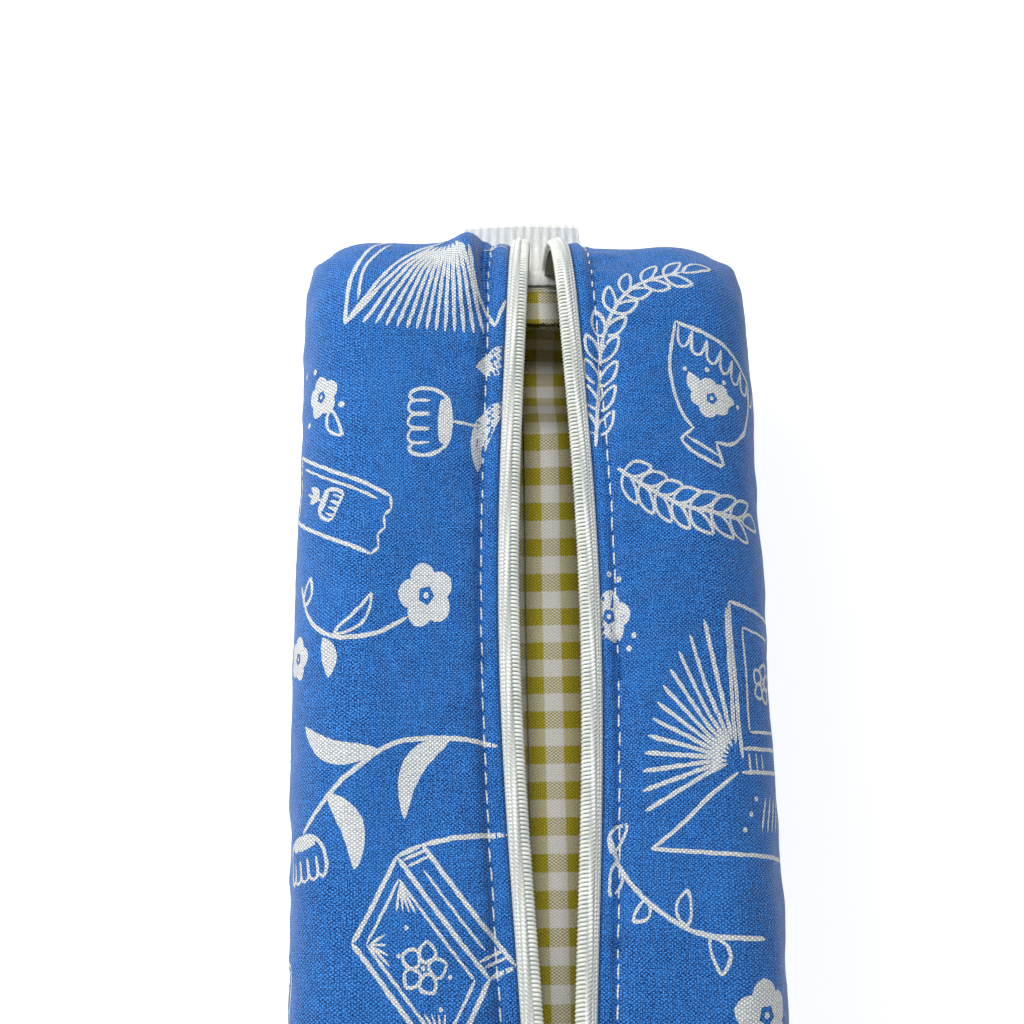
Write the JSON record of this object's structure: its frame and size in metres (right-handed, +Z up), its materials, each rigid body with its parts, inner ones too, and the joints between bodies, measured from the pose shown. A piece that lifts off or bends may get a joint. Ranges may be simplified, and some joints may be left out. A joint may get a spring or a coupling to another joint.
{
  "type": "pencil case",
  "caption": "Padded boxy fabric pencil case with a long open coil zip on top, printed cotton outside, gingham lining, sliding zip puller and a folded ribbon tab at one end.",
  "frame": {"origin": "centre of the object's box at its base, the face it rests on", "axes": "+Y along the zip towards the end with the ribbon tab, +X to the right across the case, +Z up out of the zip"},
  "size_m": [0.078, 0.2106, 0.0631],
  "materials": {
    "printed_cotton": "matt plain-weave cotton, blue with a white line print",
    "fleece": "needled fleece",
    "gingham_cotton": "matt plain-weave cotton, olive and white gingham",
    "zip_tape": "woven polyester tape, white",
    "nylon_coil": "white nylon monofilament",
    "thread": "white polyester sewing thread",
    "ribbon": "white ribbed ribbon",
    "slider_enamel": "white enamel on die-cast zinc"
  },
  "bodies": {
    "case": {"outer_panel_left": "printed_cotton", "outer_panel_right": "printed_cotton", "padding_left": "fleece", "padding_right": "fleece", "lining_left": "gingham_cotton", "lining_right": "gingham_cotton", "end_seam_far": "gingham_cotton", "end_seam_near": "gingham_cotton"},
    "lip_left": {"zipper_tape_left": "zip_tape", "zipper_coil_left": "nylon_coil", "topstitch_left": "thread"},
    "lip_right": {"zipper_tape_right": "zip_tape", "zipper_coil_right": "nylon_coil", "topstitch_right": "thread"},
    "slider": {"slider_body": "slider_enamel"},
    "pull": {"slider_pull": "slider_enamel"},
    "tab": {"ribbon_tab": "ribbon"}
  },
  "joints": [
    {"name": "slider_slide", "type": "slide", "parent": "case", "child": "slider", "axis": [0, 1, 0], "range_m": [0, 0.154]},
    {"name": "pull_swing", "type": "hinge", "parent": "slider", "child": "pull", "pos_m": [0.0026, -0.07975, 0.06125], "axis": [-1, 0, 0], "range_deg": [0, 178]},
    {"name": "lip_left_close", "type": "slide", "parent": "case", "child": "lip_left", "axis": [1, 0, 0], "range_m": [0, 0.0052], "deforming": ["zipper_tape_left", "zipper_coil_left", "topstitch_left"]},
    {"name": "lip_right_close", "type": "slide", "parent": "case", "child": "lip_right", "axis": [-1, 0, 0], "range_m": [0, 0.0052], "deforming": ["zipper_tape_right", "zipper_coil_right", "topstitch_right"]},
    {"name": "tab_flex", "type": "hinge", "parent": "case", "child": "tab", "pos_m": [0, 0.09875, 0.02955], "axis": [1, 0, 0], "range_deg": [-40, 40], "stiffness_Nm_per_rad": 0.001, "deforming": ["ribbon_tab"]}
  ],
  "couplings": [
    {"joint": "lip_left_close", "follows": "slider_slide", "ratio": 0.0334},
    {"joint": "lip_right_close", "follows": "slider_slide", "ratio": 0.0334}
  ]
}
